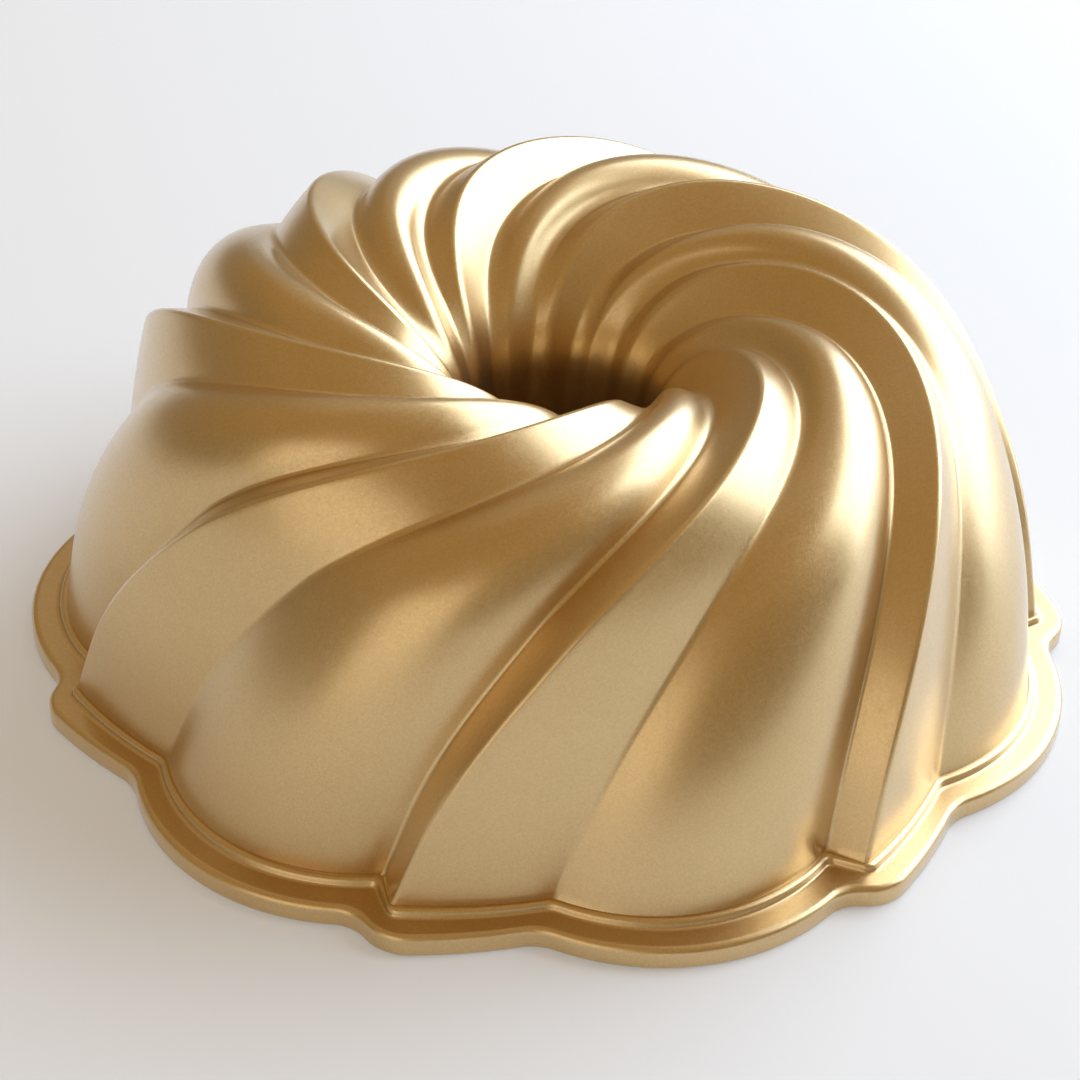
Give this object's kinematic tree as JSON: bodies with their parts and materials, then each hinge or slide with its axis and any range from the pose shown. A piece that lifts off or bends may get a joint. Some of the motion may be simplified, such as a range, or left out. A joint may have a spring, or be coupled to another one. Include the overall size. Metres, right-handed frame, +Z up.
{
  "type": "bundt pan",
  "caption": "Swirled ring cake pan in cast metal with a scalloped rim and an open centre tube, standing upside down on its rim.",
  "frame": {"origin": "on the axis of the centre tube, in the plane that the rim rests on", "axes": "+Z up through the centre tube from the rim to the crown, with the pan upside down; +X and +Y level, with one ridge of the swirl meeting the rim 15.6 degrees clockwise of -Y seen from above"},
  "size_m": [0.2553, 0.2523, 0.0939],
  "materials": {
    "cast_metal": "bare cast metal at the rim face and the tube end",
    "gold_enamel": "satin metallic gold with a fine flake",
    "nonstick": "smooth semi-gloss nonstick in a darker gold"
  },
  "bodies": {
    "root": {"pan_casting": "cast_metal", "exterior_coat": "gold_enamel", "nonstick_lining": "nonstick"}
  },
  "joints": []
}
